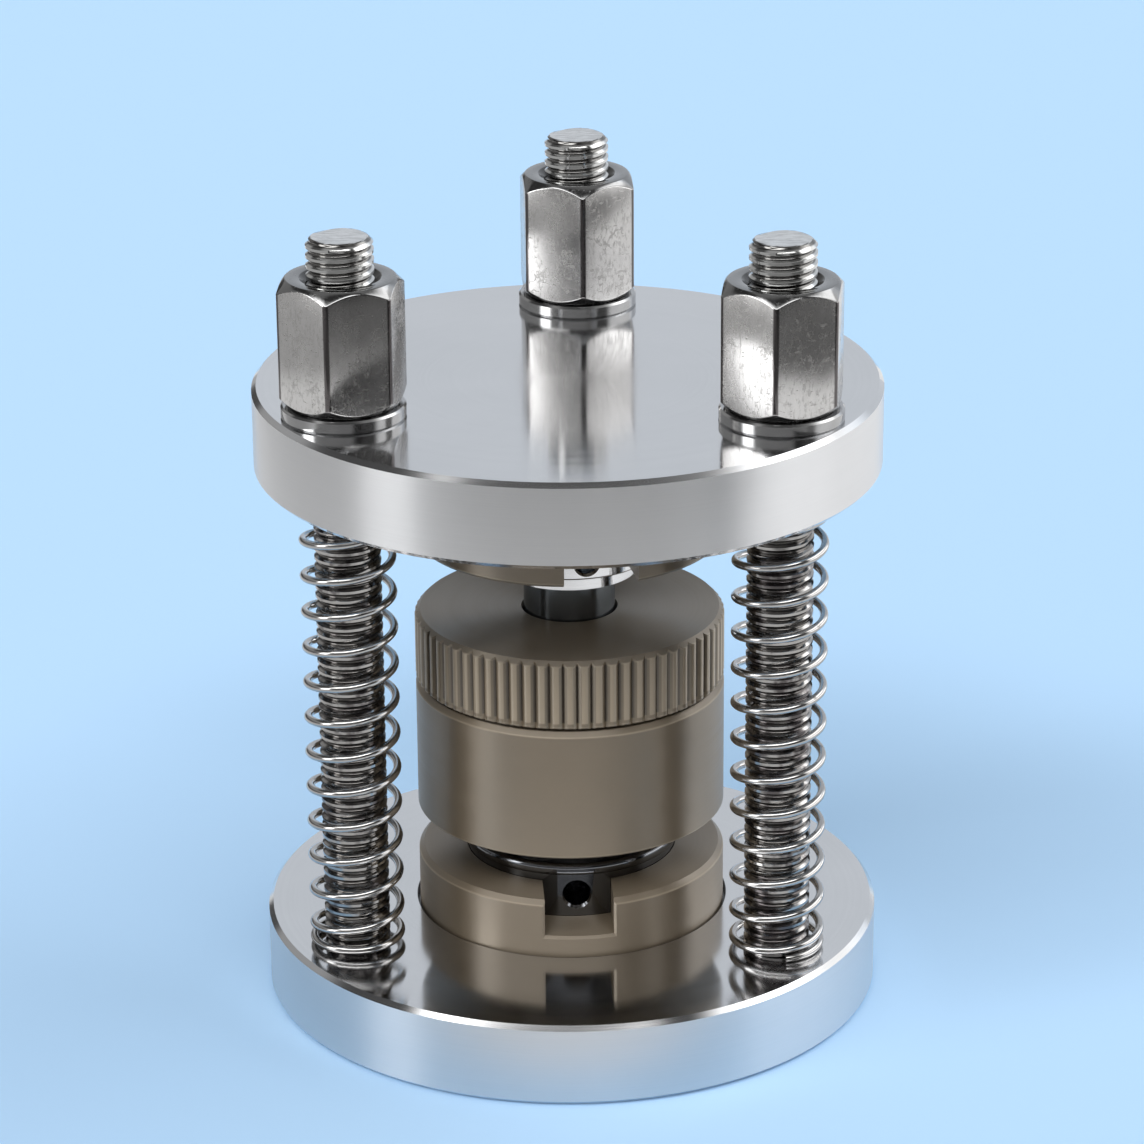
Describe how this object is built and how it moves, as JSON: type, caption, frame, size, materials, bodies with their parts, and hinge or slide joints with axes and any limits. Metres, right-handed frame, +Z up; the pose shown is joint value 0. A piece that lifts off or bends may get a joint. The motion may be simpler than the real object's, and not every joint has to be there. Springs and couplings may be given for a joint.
{
  "type": "solid-state battery test mold",
  "caption": "Spring-loaded press mold for a solid-state test cell: round steel plates on threaded studs with tall nuts, clamping an insulating cell with a fluted cap and plug sockets.",
  "frame": {"origin": "on the main axis, at the underside of the lower plate", "axes": "+Z up along the main axis and the studs; -Y towards the front, where the plug sockets open; +X to the right; one stud stands at +Y"},
  "size_m": [0.095, 0.095, 0.1253],
  "materials": {
    "plate_steel": "polished faces, satin rim",
    "stud_steel": "bright rolled thread",
    "spring_steel": "bright drawn wire",
    "washer_steel": "bright",
    "nut_steel": "cold drawn, slightly pitted",
    "insulator_plastic": "turned, warm grey",
    "electrode_steel": "turned and polished",
    "sleeve_ceramic": "ground",
    "seal_rubber": "matt"
  },
  "bodies": {
    "base": {"bottom_plate": "plate_steel", "stud_left": "stud_steel", "stud_right": "stud_steel", "stud_rear": "stud_steel", "spring_left": "spring_steel", "spring_right": "spring_steel", "spring_rear": "spring_steel", "lower_insulator": "insulator_plastic", "lower_electrode": "electrode_steel", "lower_o_ring": "seal_rubber", "cell_body": "insulator_plastic", "die_sleeve": "sleeve_ceramic", "upper_o_ring": "seal_rubber"},
    "press_plate": {"top_plate": "plate_steel", "upper_insulator": "insulator_plastic", "upper_electrode": "electrode_steel", "washer_left": "washer_steel", "washer_right": "washer_steel", "washer_rear": "washer_steel"},
    "left_nut": {"nut_left": "nut_steel"},
    "right_nut": {"nut_right": "nut_steel"},
    "rear_nut": {"nut_rear": "nut_steel"},
    "gland": {"gland_ring": "insulator_plastic"},
    "cap": {"cell_cap": "insulator_plastic"}
  },
  "joints": [
    {"name": "plate_travel", "type": "slide", "parent": "base", "child": "press_plate", "axis": [0, 0, 1], "range_m": [-0.0045, 0.0045], "deforming": ["spring_left", "spring_right", "spring_rear"]},
    {"name": "nut_left_turn", "type": "hinge", "parent": "press_plate", "child": "left_nut", "pos_m": [-0.03204, -0.0185, 0.1], "axis": [0, 0, 1], "range_deg": [-1080, 1080]},
    {"name": "nut_right_turn", "type": "hinge", "parent": "press_plate", "child": "right_nut", "pos_m": [0.03204, -0.0185, 0.1], "axis": [0, 0, 1], "range_deg": [-1080, 1080]},
    {"name": "nut_rear_turn", "type": "hinge", "parent": "press_plate", "child": "rear_nut", "pos_m": [0, 0.037, 0.1], "axis": [0, 0, 1], "range_deg": [-1080, 1080]},
    {"name": "cap_turn", "type": "hinge", "parent": "base", "child": "gland", "pos_m": [0, 0, 0.0569], "axis": [0, 0, 1], "range_deg": [0, 360]},
    {"name": "cap_lift", "type": "slide", "parent": "gland", "child": "cap", "axis": [0, 0, 1], "range_m": [0, 0.0015]}
  ],
  "couplings": [
    {"joint": "nut_left_turn", "follows": "plate_travel", "rad_per_m": 4188.8},
    {"joint": "nut_right_turn", "follows": "plate_travel", "rad_per_m": 4188.8},
    {"joint": "nut_rear_turn", "follows": "plate_travel", "rad_per_m": 4188.8},
    {"joint": "cap_lift", "follows": "cap_turn", "m_per_rad": 0.00023873}
  ]
}
